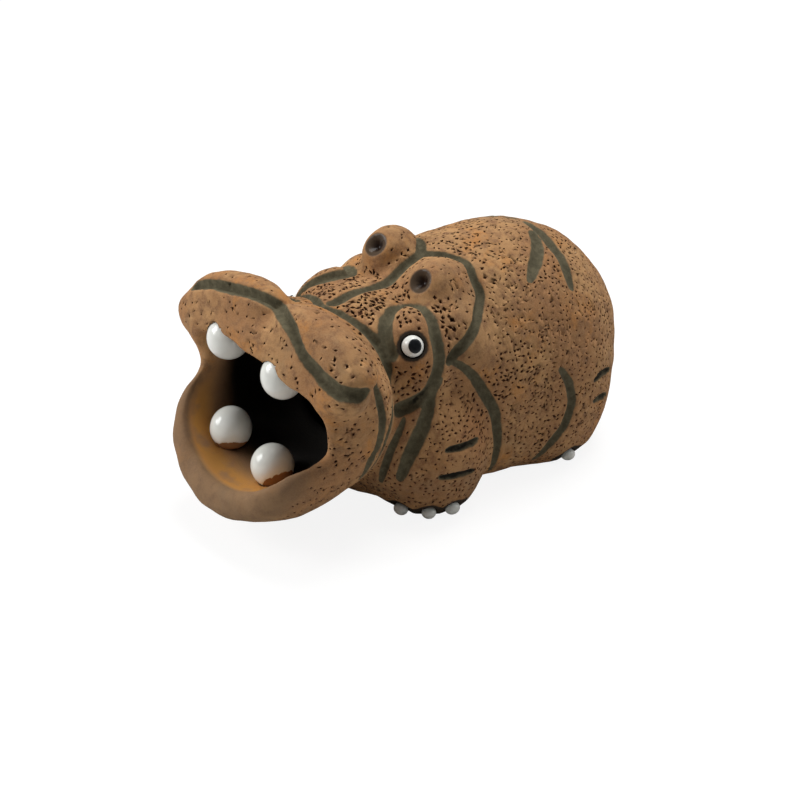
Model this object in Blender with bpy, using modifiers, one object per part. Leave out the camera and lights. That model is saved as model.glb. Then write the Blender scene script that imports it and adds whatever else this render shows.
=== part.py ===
"""Hippopotamus figurine: a hollow fired-clay animal with a wide open mouth.

The clay is modelled as rounded lumps pressed together, hollowed from the mouth and carved with grooves.
Teeth, eyes and nails are white pellets set in seats of their own.
The animal looks along -Y, its left side is +X, and it rests on its flat base at Z = 0.
Sizes are in millimetres; MM turns them into metres when a mesh is made.
"""
import math

import bmesh
import bpy
import numpy as np
from mathutils import Matrix, Vector

MM = 0.001

# Body
BARREL_WIDTH = 81.0
BARREL_LENGTH = 90.0
BARREL_HEIGHT = 82.0
BARREL_BACK = 33.0
BARREL_RISE = 35.6
CHEST_WIDTH = 74.0
CHEST_HEIGHT = 73.0
BELLY_WIDTH = 76.0
NECK_WIDTH = 65.0
LEG_SPREAD = 25.0
FORELEG_WIDTH = 34.0
HAUNCH_WIDTH = 30.0

# Head
HEAD_WIDTH = 52.0
EAR_SPREAD = 12.0
EAR_WIDTH = 18.5
EAR_RISE = 71.3
EAR_DROP = 3.5
MUZZLE_WIDTH = 77.0
MUZZLE_HEIGHT = 55.0
SNOUT_WIDTH = 90.0
SNOUT_RISE = 58.0
NOSTRIL_LENGTH = 46.0
JAW_WIDTH = 71.0
JAW_LENGTH = 68.0

# Hollow and mouth
WALL = 7.0
FLOOR = 7.0
MOUTH_WIDTH = 60.4
MOUTH_HEIGHT = 35.0
MOUTH_DEPTH = 56.0
MOUTH_REACH = 85.0
MOUTH_TILT = 23.0
TRIM_ROUND = 6.0
RIM_ROUND = 5.0
BASE_ROUND = 3.0
BASE_TRIM = 0.6

# Carving
GROOVE_WIDTH = 3.9
GROOVE_DEPTH = 1.8
SLIT_WIDTH = 2.6
EAR_PIT_WIDTH = 8.8
EAR_PIT_DEPTH = 3.4

# White pellets and their seats
SEAT_GAP = 0.3
TOOTH_WIDTH = 14.2
TOOTH_HEIGHT = 15.0
LOWER_TOOTH_SPREAD = 12.3
LOWER_TOOTH_SHIFT = -2.9
LOWER_TOOTH_SETBACK = 14.3
LOWER_TOOTH_SINK = 2.2
UPPER_TOOTH_SPREAD = 15.2
UPPER_TOOTH_SHIFT = -5.8
UPPER_TOOTH_SETBACK = 7.2
UPPER_TOOTH_SINK = 2.6
EYE_WIDTH = 7.7
EYE_SINK = 4.6
EYE_DISH_WIDTH = 12.2
EYE_DISH_DEPTH = 1.3
RIGHT_EYE_DROP = 14.0
RIGHT_EYE_AXIS = 45.0
NAIL_WIDTH = 5.8
NAIL_THICKNESS = 4.6
NAIL_HEIGHT = 4.2
NAIL_RISE = 2.5
NAIL_DISH_WIDTH = 9.0
NAIL_DISH_DEPTH = 1.0

# Fineness of the mesh
ROUGH_VOXEL = 2.6
FINE_VOXEL = 1.25
BODY_TRIANGLES = 7000
SETTLE_STEPS = 3
SETTLE_REACH = 1.5
LINE_SETTLE_STEPS = 6
PATH_STEP = 0.7
SEARCH_LENGTH = 60.0
SEARCH_STEP = 0.5

CLAY_COLOUR = (0.33, 0.16, 0.085, 1.0)
GLAZE_COLOUR = (0.78, 0.76, 0.70, 1.0)


def lump(at, half, turn=(0.0, 0.0, 0.0), blend=5.0, pair=False):
    """One rounded lump of clay: centre, half sizes, turn in degrees about X, Z and Y, and its soft join."""
    pitch, yaw, roll = (math.radians(a) for a in turn)
    matrix = Matrix.Rotation(yaw, 3, "Z") @ Matrix.Rotation(pitch, 3, "X") @ Matrix.Rotation(roll, 3, "Y")
    return {"at": np.array(at), "half": np.array(half), "turn": matrix, "blend": blend, "pair": pair}


BARREL = lump((0, BARREL_BACK, BARREL_RISE), (BARREL_WIDTH / 2, BARREL_LENGTH / 2, BARREL_HEIGHT / 2))
CHEST = lump((0, 5, 38), (CHEST_WIDTH / 2, 31, CHEST_HEIGHT / 2), blend=12)
BELLY = lump((0, 22, 14), (BELLY_WIDTH / 2, 45.5, 20), blend=10)
KEEL = lump((0, -11, 8), (24, 17, 15), blend=3)
HAUNCH = lump((LEG_SPREAD, 39.5, 19.5), (HAUNCH_WIDTH / 2, 22, 25.5), blend=8, pair=True)
FORELEG = lump((LEG_SPREAD, -15, 19), (FORELEG_WIDTH / 2, 20, 25), blend=5, pair=True)
NECK = lump((0, -23.5, 31), (NECK_WIDTH / 2, 22.5, 34), blend=8)
FOREHEAD = lump((0, -26, 54), (HEAD_WIDTH / 2, 22, 14.3), blend=6)
EYE_LOBE = lump((22.5, -19.5, 54), (10.5, 13.5, 15), (0, -2, -27), blend=3, pair=True)
EAR_LOBE = lump((22, -3.5, 55.5), (12, 12.5, 16.5), (0, 0, -42), blend=3, pair=True)
EAR_LEFT = lump((EAR_SPREAD + 0.5, -2.5, EAR_RISE - EAR_DROP), (EAR_WIDTH / 2, 10.2, 9.5), blend=4)
EAR_RIGHT = lump((-EAR_SPREAD, -2, EAR_RISE), (EAR_WIDTH / 2, 10.2, 9.5), blend=3)
TAIL = lump((0, BARREL_BACK + BARREL_LENGTH / 2, 36), (3.5, 3, 12), blend=2)
MUZZLE = lump((0, -48, 42.5), (MUZZLE_WIDTH / 2, 20.5, MUZZLE_HEIGHT / 2), blend=5)
LIP_TIP = lump((35.5, -60, 59.3), (8.5, 6.5, 6.5), (-35, 0, 0), blend=5, pair=True)
CHEEK = lump((29.5, -52, 48.5), (9.5, 12.5, 14.5), blend=7, pair=True)
SNOUT = lump((-2, -59, SNOUT_RISE), (SNOUT_WIDTH / 2, 10, 11.5), (-35, 3.5, 0), blend=7)
NOSTRIL = lump((22.5, -54.7, 67.2), (NOSTRIL_LENGTH / 2, 10, 7.7), (0, 0, 10), blend=3, pair=True)
JAW = lump((-1, -60, 30), (JAW_WIDTH / 2, JAW_LENGTH / 2, 23), (17, -1.5, 0), blend=8)
MOUTH = lump((1.2, -62, 39.2), (MOUTH_WIDTH / 2, MOUTH_DEPTH / 2, MOUTH_HEIGHT / 2), (31, 0, 0), blend=6)
MOUTH_CORNER_RIGHT = lump((-15, -61.5, 52.3), (15, 14, 6.5), (25, 0, 8), blend=5)
MOUTH_CORNER_LEFT = lump((24, -61.5, 47.5), (6.5, 14, 6), (25, 0, 0), blend=6)
CLAY_LUMPS = [BARREL, CHEST, BELLY, KEEL, HAUNCH, FORELEG, NECK, FOREHEAD, EYE_LOBE, EAR_LOBE, EAR_LEFT,
              EAR_RIGHT, TAIL, MUZZLE, CHEEK, SNOUT, LIP_TIP, NOSTRIL, JAW]
HOLLOW_LUMPS = [BARREL, CHEST, NECK, MUZZLE]
MOUTH_LUMPS = [MOUTH, MOUTH_CORNER_RIGHT, MOUTH_CORNER_LEFT]

# Carved lines of the left side, as points near the surface; those of the right side mirror them
MIDLINE = [(0, -35, 67.5), (0, -28, 69), (0, -20, 69), (0, -12, 69.5), (0, -5, 72), (0, 1, 74.5)]
NECK_LINE = [(0, 1, 74.5), (6, 6, 75.5), (13, 9, 74), (19, 7.5, 71.5), (25, 5.5, 67.5), (30, 0, 64),
             (33, -5, 60.5), (33.5, -9.5, 57.5), (32.5, -14.5, 53.5)]
EYE_LINE = [(30, -32, 41), (31, -28.5, 42), (33, -23.5, 45), (33.5, -21, 50), (32.5, -18.5, 56),
            (29, -17, 61), (24.5, -15.5, 64), (18.5, -15, 66), (14, -16.5, 66), (13.5, -20.5, 66),
            (16, -26, 65), (21, -31, 61.5), (25, -31.5, 58)]
BRIDGE_LINE = [(0, -40, 68), (6, -37, 67), (13, -35.5, 65), (19, -34, 62.5), (24, -33.5, 57.5),
               (29, -35, 51), (35, -39, 47), (37.5, -42, 42), (36.5, -42.5, 36.5), (34.5, -43.5, 31),
               (32, -45, 25.5), (26, -45, 17)]
MUZZLE_LINE = [(6, -45, 69.5), (15, -45.5, 69), (24, -46, 68), (32, -47, 65), (37.5, -47, 59),
               (39.5, -46.5, 51), (40, -46.5, 44), (38.5, -47, 37), (37, -48.5, 32), (33, -49, 24)]
NOSTRIL_LINE_LEFT = [(0, -55, 72), (12, -60, 72), (18, -62, 69.5), (24, -63, 66), (32, -63, 63.5),
                     (40, -61, 60.5), (44.5, -57, 61)]
NOSTRIL_LINE_RIGHT = [(0, -55, 72), (-10, -58, 73.5), (-20, -59.5, 72.5), (-30, -60, 70.5), (-41, -60, 66)]
LEG_LINE = [(32.5, -13.5, 53), (34.5, -9.5, 50), (35.5, -5.5, 45), (36.5, -2.5, 39.5), (37, 1, 33),
            (37, 3, 27), (36.5, 4, 20), (36, 3.5, 13), (34, 4, 6)]
THROAT_LINE = [(34, -19, 49), (33.5, -22.5, 42), (34.5, -25.5, 37), (35, -29, 31.5), (34, -32, 25),
               (32, -34, 17)]
FOLD_LINE = [(31, -31, 38), (31, -33.5, 33), (30, -35.5, 28), (28, -36.5, 21), (25.5, -36.5, 14)]
HAUNCH_LINE = [(40, 27.5, 40), (41, 31, 34), (41.5, 32.5, 26), (41, 30, 18.5), (39.5, 25.5, 12.5),
               (36.5, 21, 6)]
LEG_SLASHES = [[(40, -21.5, 27), (41, -15, 26.5), (40, -7.5, 26)],
               [(40, -24, 18), (41.5, -17, 17.2), (41.5, -11, 16.5)]]
HIP_SLASHES = [[(40.5, 43.5, 30.5), (39, 49, 31), (36.5, 55, 29.5)],
               [(41, 44, 22.5), (40, 48.5, 22), (37.5, 53.5, 20.5)]]
BACK_LEAVES = [[(9, 42, 75), (15, 39.5, 74), (20.5, 34, 71.5), (26, 25.5, 67)],
               [(2, 45.5, 76), (11, 45.5, 74), (20, 44.5, 70.5), (26, 42.5, 66), (31, 40.5, 62)]]



def on_the_right(points):
    """The right side's copy of points."""
    return [(-x, y, z) for x, y, z in points]


def right_eye(points):
    """The right side's copy of points about the eye, which sits lower round the head than the left one."""
    drop = math.radians(RIGHT_EYE_DROP)
    across, down, axis = math.cos(drop), math.sin(drop), RIGHT_EYE_AXIS
    return [(-x * across - (z - axis) * down, y, axis + (z - axis) * across - x * down) for x, y, z in points]


# Each carving: its points, width, depth, whether its ends taper, and whether the right side has it too
CARVINGS = [
    (MIDLINE, GROOVE_WIDTH * 1.2, GROOVE_DEPTH, False, False),
    (NECK_LINE, GROOVE_WIDTH, GROOVE_DEPTH, False, True),
    (EYE_LINE, GROOVE_WIDTH, GROOVE_DEPTH, False, False),
    (right_eye(EYE_LINE), GROOVE_WIDTH, GROOVE_DEPTH, False, False),
    (EYE_LINE[:4], SLIT_WIDTH, GROOVE_DEPTH * 1.3, True, True),
    (BRIDGE_LINE, GROOVE_WIDTH, GROOVE_DEPTH, False, True),
    (MUZZLE_LINE, GROOVE_WIDTH * 0.9, GROOVE_DEPTH * 0.8, False, True),
    (NOSTRIL_LINE_LEFT, GROOVE_WIDTH, GROOVE_DEPTH * 1.1, False, False),
    (NOSTRIL_LINE_RIGHT, GROOVE_WIDTH, GROOVE_DEPTH * 1.1, False, False),
    (LEG_LINE, GROOVE_WIDTH * 1.1, GROOVE_DEPTH, True, True),
    (THROAT_LINE, GROOVE_WIDTH * 1.3, GROOVE_DEPTH, True, True),
    (FOLD_LINE, GROOVE_WIDTH * 0.8, GROOVE_DEPTH * 0.8, True, True),
    (HAUNCH_LINE, GROOVE_WIDTH * 1.1, GROOVE_DEPTH, True, True),
]
CARVINGS += [(line, SLIT_WIDTH, GROOVE_DEPTH * 1.1, True, True) for line in LEG_SLASHES + HIP_SLASHES]
CARVINGS += [(line, GROOVE_WIDTH * 1.25, GROOVE_DEPTH * 0.8, True, True) for line in BACK_LEAVES]

# Seats: where the search for the clay starts, and the way it runs
EAR_PITS_AT = [(EAR_SPREAD + 1.4, -10.8, EAR_RISE + 2.0), (-EAR_SPREAD + 0.9, -9.5, EAR_RISE + 6.3)]
EYES_AT = [(28.5, -25.7, 60.5)]
EYES_AT += right_eye(EYES_AT)
MID_MOUTH_HEIGHT = 40.0
FORE_NAIL_ANGLES = (-80, -42, -6)
HIND_NAIL_ANGLES = (-12, 100, 140)


def lump_distance(points, shape, shrink=0.0):
    """Approximate distance from each point to a lump, negative inside it."""
    local = points.copy()
    if shape["pair"]:
        local[:, 0] = np.abs(local[:, 0])
    local = (local - shape["at"]) @ np.array(shape["turn"])
    half = shape["half"] - shrink
    near = np.sqrt(((local / half) ** 2).sum(axis=1))
    steep = np.sqrt(((local / half ** 2) ** 2).sum(axis=1))
    return near * (near - 1.0) / np.maximum(steep, 1e-9)


def soft_join(first, second, blend):
    """Lesser of two distances, with a fillet about as wide as blend where they meet."""
    overlap = np.maximum(blend - np.abs(first - second), 0.0) / blend
    return np.minimum(first, second) - overlap * overlap * blend / 4.0


def soft_keep(first, second, blend):
    """Greater of two distances, with a rounded edge where they meet."""
    return -soft_join(-first, -second, blend)


def pressed_together(points, shapes, shrink=0.0):
    distance = lump_distance(points, shapes[0], shrink)
    for shape in shapes[1:]:
        distance = soft_join(distance, lump_distance(points, shape, shrink), shape["blend"])
    return distance


def mouth_normal():
    tilt = math.radians(MOUTH_TILT)
    return np.array([0.0, -math.cos(tilt), math.sin(tilt)])


def outside(points):
    """Distance to the outer skin, trimmed flat in front of the mouth and under the base."""
    distance = pressed_together(points, CLAY_LUMPS)
    distance = soft_keep(distance, points @ mouth_normal() - MOUTH_REACH, TRIM_ROUND)
    return soft_keep(distance, -BASE_TRIM - points[:, 2], BASE_ROUND)


def inside(points):
    """Distance to the hollow, one wall in from the main lumps and open at the mouth."""
    distance = pressed_together(points, HOLLOW_LUMPS, WALL)
    for shape in MOUTH_LUMPS:
        distance = soft_join(distance, lump_distance(points, shape), shape["blend"])
    return soft_keep(distance, FLOOR - points[:, 2], TRIM_ROUND)


def clay(points):
    return soft_keep(outside(points), -inside(points), RIM_ROUND)


def slope(points, step=0.05):
    """Unit direction in which the distance to the clay grows."""
    here = clay(points)
    rise = [clay(points + offset) - here for offset in np.eye(3) * step]
    grown = np.stack(rise, axis=1) / step
    return here, grown / np.maximum(np.linalg.norm(grown, axis=1), 1e-9)[:, None]


def settle(points, steps=SETTLE_STEPS):
    """Moves points onto the surface of the clay; returns them and the surface normals."""
    points = np.array(points, dtype=float)
    for _ in range(steps):
        distance, normal = slope(points)
        points -= normal * np.clip(distance, -SETTLE_REACH, SETTLE_REACH)[:, None]
    return points, slope(points)[1]


def seat_along(start, way):
    """Looks from start along way for the first point of the clay's surface, coming from the air."""
    way = np.array(way) / np.linalg.norm(way)
    reach = np.arange(0.0, SEARCH_LENGTH, SEARCH_STEP)
    distance = clay(np.array(start) + reach[:, None] * way)
    first = int(np.argmax(distance < 0.0))
    share = distance[first - 1] / (distance[first - 1] - distance[first])
    return np.array(start) + way * (reach[first - 1] + share * SEARCH_STEP), way


def smooth_path(points):
    """Even steps along a curve through the points (Catmull-Rom)."""
    ends = np.array([points[0]] + list(points) + [points[-1]], dtype=float)
    path = []
    for a, b, c, d in zip(ends, ends[1:], ends[2:], ends[3:]):
        count = max(2, int(np.linalg.norm(c - b) / PATH_STEP))
        for t in np.arange(count) / count:
            path.append(0.5 * (2 * b + (c - a) * t + (2 * a - 5 * b + 4 * c - d) * t ** 2
                               + (3 * b - a - 3 * c + d) * t ** 3))
    path.append(ends[-1])
    return np.array(path)


def carving_paths():
    """Every carved line settled on the clay, with the half width and depth at each of its points."""
    paths = []
    for points, width, depth, tapered, both_sides in CARVINGS:
        for line in [points] + ([on_the_right(points)] if both_sides else []):
            path, _ = settle(smooth_path(line), LINE_SETTLE_STEPS)
            along = np.linspace(0.0, 1.0, len(path))
            end = np.sin(np.pi * along) ** 0.5 if tapered else np.ones(len(path))
            paths.append((path, np.maximum(width / 2 * (0.35 + 0.65 * end), 0.5), depth * end))
    return paths


def dish(centre, width, depth):
    return np.array([centre]), np.array([width / 2]), np.array([depth])


def carve(points, normals, cuts):
    """Presses each point inward under the deepest of the cuts that reach it."""
    press = np.zeros(len(points))
    for path, half_width, depth in cuts:
        low, high = path.min(axis=0) - half_width.max(), path.max(axis=0) + half_width.max()
        near = np.where(((points > low) & (points < high)).all(axis=1))[0]
        if not len(near):
            continue
        reach = np.linalg.norm(points[near, None] - path[None], axis=2) / half_width
        bowl = np.maximum(1.0 - reach ** 2, 0.0) ** 1.5 * depth
        press[near] = np.maximum(press[near], bowl.max(axis=1))
    return points - normals * press[:, None]


def clear_scene():
    for item in list(bpy.data.objects):
        bpy.data.objects.remove(item, do_unlink=True)


def new_collection(name):
    collection = bpy.data.collections.new(name)
    bpy.context.scene.collection.children.link(collection)
    return collection


def new_material(name, colour, roughness):
    material = bpy.data.materials.new(name)
    material.use_nodes = True
    surface = material.node_tree.nodes["Principled BSDF"]
    surface.inputs["Base Color"].default_value = colour
    surface.inputs["Roughness"].default_value = roughness
    surface.inputs["Metallic"].default_value = 0.0
    return material


def add_object(name, mesh, collection):
    item = bpy.data.objects.new(name, mesh)
    collection.objects.link(item)
    return item


def add_ball(bm, centre, half, turn=None, shrink=0.0, segments=20, rings=12):
    """A round primitive stretched to half sizes and turned, in metres."""
    turn = (turn or Matrix.Identity(3)).to_4x4()
    size = Matrix.Diagonal([(value - shrink) * MM for value in half]).to_4x4()
    place = Matrix.Translation(Vector([float(value) for value in centre]) * MM)
    bmesh.ops.create_uvsphere(bm, u_segments=segments, v_segments=rings, radius=1.0,
                              matrix=place @ turn @ size)


def lumps_mesh(name, shapes, shrink=0.0):
    bm = bmesh.new()
    for shape in shapes:
        add_ball(bm, shape["at"], shape["half"], shape["turn"], shrink)
        if shape["pair"]:
            flip = Matrix.Diagonal((-1, 1, 1))
            other = flip @ shape["turn"] @ flip
            add_ball(bm, shape["at"] * (-1, 1, 1), shape["half"], other, shrink)
    mesh = bpy.data.meshes.new(name)
    bm.to_mesh(mesh)
    bm.free()
    return mesh


def slice_mesh(mesh, point, normal):
    """Cuts away what lies beyond a plane and caps the cut."""
    bm = bmesh.new()
    bm.from_mesh(mesh)
    everything = bm.verts[:] + bm.edges[:] + bm.faces[:]
    cut = bmesh.ops.bisect_plane(bm, geom=everything, plane_co=Vector(point) * MM, plane_no=Vector(normal),
                                 clear_outer=True)
    edges = [item for item in cut["geom_cut"] if isinstance(item, bmesh.types.BMEdge)]
    bmesh.ops.holes_fill(bm, edges=edges, sides=0)
    bm.to_mesh(mesh)
    bm.free()


def bake(item):
    """Replaces an object's mesh by its evaluated one and drops its modifiers."""
    graph = bpy.context.evaluated_depsgraph_get()
    mesh = bpy.data.meshes.new_from_object(item.evaluated_get(graph))
    item.modifiers.clear()
    item.data = mesh


def remesh(item, voxel):
    modifier = item.modifiers.new("even_clay", "REMESH")
    modifier.mode = "VOXEL"
    modifier.voxel_size = voxel * MM
    bake(item)


def mesh_points(mesh):
    values = np.empty(len(mesh.vertices) * 3, dtype=np.float32)
    mesh.vertices.foreach_get("co", values)
    return values.reshape(-1, 3).astype(float) / MM


def move_points(mesh, points):
    mesh.vertices.foreach_set("co", (points * MM).astype(np.float32).ravel())
    mesh.update()


def build_body(parts, cutters, dishes):
    """The hollow clay: rough lumps, an even mesh moved onto the clay's surface, then the carving."""
    body = add_object("body", lumps_mesh("body", CLAY_LUMPS), parts)
    remesh(body, ROUGH_VOXEL)
    slice_mesh(body.data, mouth_normal() * MOUTH_REACH, mouth_normal())
    slice_mesh(body.data, (0, 0, -BASE_TRIM), (0, 0, -1))
    hollow_mesh = lumps_mesh("hollow_lumps", HOLLOW_LUMPS, WALL)
    bm = bmesh.new()
    bm.from_mesh(hollow_mesh)
    for shape in MOUTH_LUMPS:
        add_ball(bm, shape["at"], shape["half"], shape["turn"])
    bm.to_mesh(hollow_mesh)
    bm.free()
    hollow = add_object("hollow_lumps", hollow_mesh, cutters)
    remesh(hollow, ROUGH_VOXEL)
    slice_mesh(hollow.data, (0, 0, FLOOR), (0, 0, -1))
    hide_helper(hollow)
    cut = body.modifiers.new("hollow", "BOOLEAN")
    cut.operation = "DIFFERENCE"
    cut.object = hollow
    bake(body)
    for voxel in (2 * FINE_VOXEL, FINE_VOXEL):
        remesh(body, voxel)
        points, normals = settle(mesh_points(body.data))
        move_points(body.data, points)
    cuts = carving_paths() + dishes
    move_points(body.data, carve(points, normals, cuts))
    thin = body.modifiers.new("fewer_faces", "DECIMATE")
    thin.ratio = min(1.0, BODY_TRIANGLES / (2 * len(body.data.polygons)))
    bake(body)
    slice_mesh(body.data, (0, 0, 0), (0, 0, -1))
    return body


def hide_helper(item):
    item.display_type = "WIRE"
    item.hide_render = True


def facing(way, up=(0, 0, 1)):
    """Turn whose local -Y looks along way, with local Z as near up as it can be."""
    back = -Vector(way).normalized()
    side = back.cross(Vector(up)).normalized()
    return Matrix((side, back, side.cross(back))).transposed()


def pellet(name, centre, half, turn, parts, cutters, segments, rings):
    """A white pellet and the cutter for its seat, which is larger all round by the seat's gap."""
    made = []
    for label, grow, collection in ((name, 0.0, parts), (name + "_seat", SEAT_GAP, cutters)):
        bm = bmesh.new()
        add_ball(bm, centre, half, turn, -grow, segments, rings)
        mesh = bpy.data.meshes.new(label)
        bm.to_mesh(mesh)
        bm.free()
        mesh.shade_smooth()
        made.append(add_object(label, mesh, collection))
    hide_helper(made[1])
    return made


def both_sides(name):
    return ((name + "_left", 1.0), (name + "_right", -1.0))


def place_teeth():
    """Each tooth stands where a line down or up the mouth, one setback behind its rim, meets the clay."""
    half = (TOOTH_WIDTH / 2, TOOTH_WIDTH / 2, TOOTH_HEIGHT / 2)
    _, forward, upward = mouth_normal()
    up_the_mouth = np.array([0.0, upward, -forward])
    rows = (("tooth_lower", -up_the_mouth, LOWER_TOOTH_SPREAD, LOWER_TOOTH_SHIFT, LOWER_TOOTH_SETBACK,
             LOWER_TOOTH_SINK),
            ("tooth_upper", up_the_mouth, UPPER_TOOTH_SPREAD, UPPER_TOOTH_SHIFT, UPPER_TOOTH_SETBACK,
             UPPER_TOOTH_SINK))
    for label, way, spread, shift, setback, sink in rows:
        depth = (MOUTH_REACH - setback - MID_MOUTH_HEIGHT * upward) / forward
        for name, side in both_sides(label):
            foot, along = seat_along((spread * side + shift, depth, MID_MOUTH_HEIGHT), way)
            yield name, foot - along * (half[2] - sink), half, Matrix.Identity(3), 16, 10


def place_eyes():
    half = (EYE_WIDTH / 2,) * 3
    for (name, _), seat, normal in zip(both_sides("eye"), *settle(EYES_AT, LINE_SETTLE_STEPS)):
        yield name, seat + normal * (half[1] - EYE_SINK), half, facing(normal), 14, 8


def nail_seats():
    """Where each nail meets the foot: name, point, and the way out of the foot."""
    feet = (("nail_front", FORELEG, FORE_NAIL_ANGLES), ("nail_hind", HAUNCH, HIND_NAIL_ANGLES))
    for label, leg, angles in feet:
        for number, angle in enumerate(angles, 1):
            out = np.array([math.cos(math.radians(angle)), math.sin(math.radians(angle)), 0.0])
            start = np.array([leg["at"][0], leg["at"][1], NAIL_RISE]) + out * SEARCH_LENGTH
            point, _ = seat_along(start, -out)
            for side_name, side in (("left", 1.0), ("right", -1.0)):
                name = "%s_%s_%d" % (label, side_name, number)
                yield name, point * (side, 1, 1), out * (side, 1, 1)


def place_nails():
    half = (NAIL_WIDTH / 2, NAIL_THICKNESS / 2, NAIL_HEIGHT / 2)
    for name, point, out in nail_seats():
        yield name, point, half, facing(out), 10, 6


def seat_dishes():
    """Shallow hollows around the eyes and nails, and the pits of the ears."""
    eyes, _ = settle(EYES_AT, LINE_SETTLE_STEPS)
    pits, _ = settle(EAR_PITS_AT, LINE_SETTLE_STEPS)
    dishes = [dish(eye, EYE_DISH_WIDTH, EYE_DISH_DEPTH) for eye in eyes]
    dishes += [dish(pit, EAR_PIT_WIDTH, EAR_PIT_DEPTH) for pit in pits]
    return dishes + [dish(point, NAIL_DISH_WIDTH, NAIL_DISH_DEPTH) for _, point, _ in nail_seats()]


def main():
    clear_scene()
    parts = new_collection("hippopotamus_figurine")
    cutters = new_collection("cutters")
    clay_material = new_material("fired_clay", CLAY_COLOUR, 0.85)
    glaze = new_material("white_glaze", GLAZE_COLOUR, 0.2)
    body = build_body(parts, cutters, seat_dishes())
    body.data.materials.append(clay_material)
    for placed in [*place_teeth(), *place_eyes(), *place_nails()]:
        name, centre, half, turn, segments, rings = placed
        item, seat = pellet(name, centre, half, turn, parts, cutters, segments, rings)
        item.data.materials.append(glaze)
        cut = body.modifiers.new(seat.name, "BOOLEAN")
        cut.operation = "DIFFERENCE"
        cut.object = seat
    body.data.shade_smooth()


main()
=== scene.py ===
"""Hippopotamus figurine, dressed for its photograph.

The clay is built finely from the same rounded lumps as the CAD body, then carved, pricked and stained.
Teeth, eyes and nails become glazed pellets in the seats that the CAD gives them.
The animal looks along -Y and its left side is +X. Sizes are in millimetres; MM turns them into metres.
"""
import math

import bmesh
import bpy
import numpy as np
from mathutils import Matrix, Vector


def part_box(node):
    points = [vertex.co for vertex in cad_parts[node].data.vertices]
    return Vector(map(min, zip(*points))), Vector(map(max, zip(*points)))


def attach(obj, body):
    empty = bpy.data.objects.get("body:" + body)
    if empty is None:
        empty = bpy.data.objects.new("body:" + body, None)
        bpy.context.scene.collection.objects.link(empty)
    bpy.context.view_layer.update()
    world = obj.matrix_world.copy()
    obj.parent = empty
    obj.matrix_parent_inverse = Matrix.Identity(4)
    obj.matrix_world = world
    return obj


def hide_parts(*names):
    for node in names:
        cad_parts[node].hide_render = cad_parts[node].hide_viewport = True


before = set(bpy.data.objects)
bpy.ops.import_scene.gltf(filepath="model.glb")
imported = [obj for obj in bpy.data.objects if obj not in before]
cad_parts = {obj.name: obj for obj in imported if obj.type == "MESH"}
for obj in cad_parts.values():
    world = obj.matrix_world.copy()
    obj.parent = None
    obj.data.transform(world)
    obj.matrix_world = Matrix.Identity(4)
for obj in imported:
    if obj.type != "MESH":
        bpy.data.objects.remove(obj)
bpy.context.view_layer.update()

MM = 0.001

# Body
BARREL_WIDTH = 81.0
BARREL_LENGTH = 90.0
BARREL_HEIGHT = 82.0
BARREL_BACK = 33.0
BARREL_RISE = 35.6
CHEST_WIDTH = 74.0
CHEST_HEIGHT = 73.0
BELLY_WIDTH = 76.0
NECK_WIDTH = 65.0
LEG_SPREAD = 25.0
FORELEG_WIDTH = 34.0
HAUNCH_WIDTH = 30.0

# Head
HEAD_WIDTH = 52.0
EAR_SPREAD = 12.0
EAR_WIDTH = 18.5
EAR_RISE = 71.3
EAR_DROP = 3.5
MUZZLE_WIDTH = 77.0
MUZZLE_HEIGHT = 55.0
SNOUT_WIDTH = 90.0
SNOUT_RISE = 58.0
NOSTRIL_LENGTH = 46.0
JAW_WIDTH = 71.0
JAW_LENGTH = 68.0

# Hollow and mouth
WALL = 7.0
FLOOR = 7.0
MOUTH_WIDTH = 60.4
MOUTH_HEIGHT = 35.0
MOUTH_DEPTH = 56.0
MOUTH_REACH = 85.0
MOUTH_TILT = 23.0
TRIM_ROUND = 6.0
RIM_ROUND = 5.0
BASE_ROUND = 3.0
BASE_TRIM = 0.6

# Carving
GROOVE_WIDTH = 3.9
GROOVE_DEPTH = 1.8
SLIT_WIDTH = 2.6
EAR_PIT_WIDTH = 8.8
EAR_PIT_DEPTH = 3.4

# Seats and dishes of the white pellets
SEAT_GAP = 0.15
EYE_DISH_WIDTH = 12.2
EYE_DISH_DEPTH = 1.3
RIGHT_EYE_DROP = 14.0
RIGHT_EYE_AXIS = 45.0
NAIL_DISH_WIDTH = 9.0
NAIL_DISH_DEPTH = 1.0

# Fineness of the mesh
ROUGH_VOXEL = 2.6
FINE_VOXEL = 0.85
CLAY_TRIANGLES = 67000
SETTLE_STEPS = 3
SETTLE_REACH = 1.5
LINE_SETTLE_STEPS = 6
PATH_STEP = 0.7

# Hand-made surface: dents as size and height, a burr beside each groove, and pricks
DENTS = ((26.0, 0.22), (10.0, 0.14), (4.5, 0.06))
DENT_SEED = 31
BURR_HEIGHT = 0.16
BURR_REACH = 1.28
BURR_SPAN = 0.2
BURR_PATCH = 6.0
BURR_SEED = 21
FARTHEST_REACH = 3.0

# Pricks: their number, spacing and sizes in millimetres, and how unlike each other they are
PIT_COUNT = 5700
PIT_TRIES = 1.6
PIT_SPACING = 1.3
PIT_LENGTH = (0.9, 1.0, 2.1)
PIT_WIDTH = (0.6, 1.05)
PIT_DEPTH = (0.6, 1.0)
PIT_STAND = 0.5
PIT_SPREAD = 0.6
PIT_SKEW = 0.12
PIT_UNEVEN = (0.65, 1.25)
PIT_GRAIN = (0.1, 1.0, 0.12)
FOREHEAD_GRAIN = (0.5, -0.05, -0.85)
FOREHEAD_EXTRA = 0.5
SEED = 7

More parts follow.
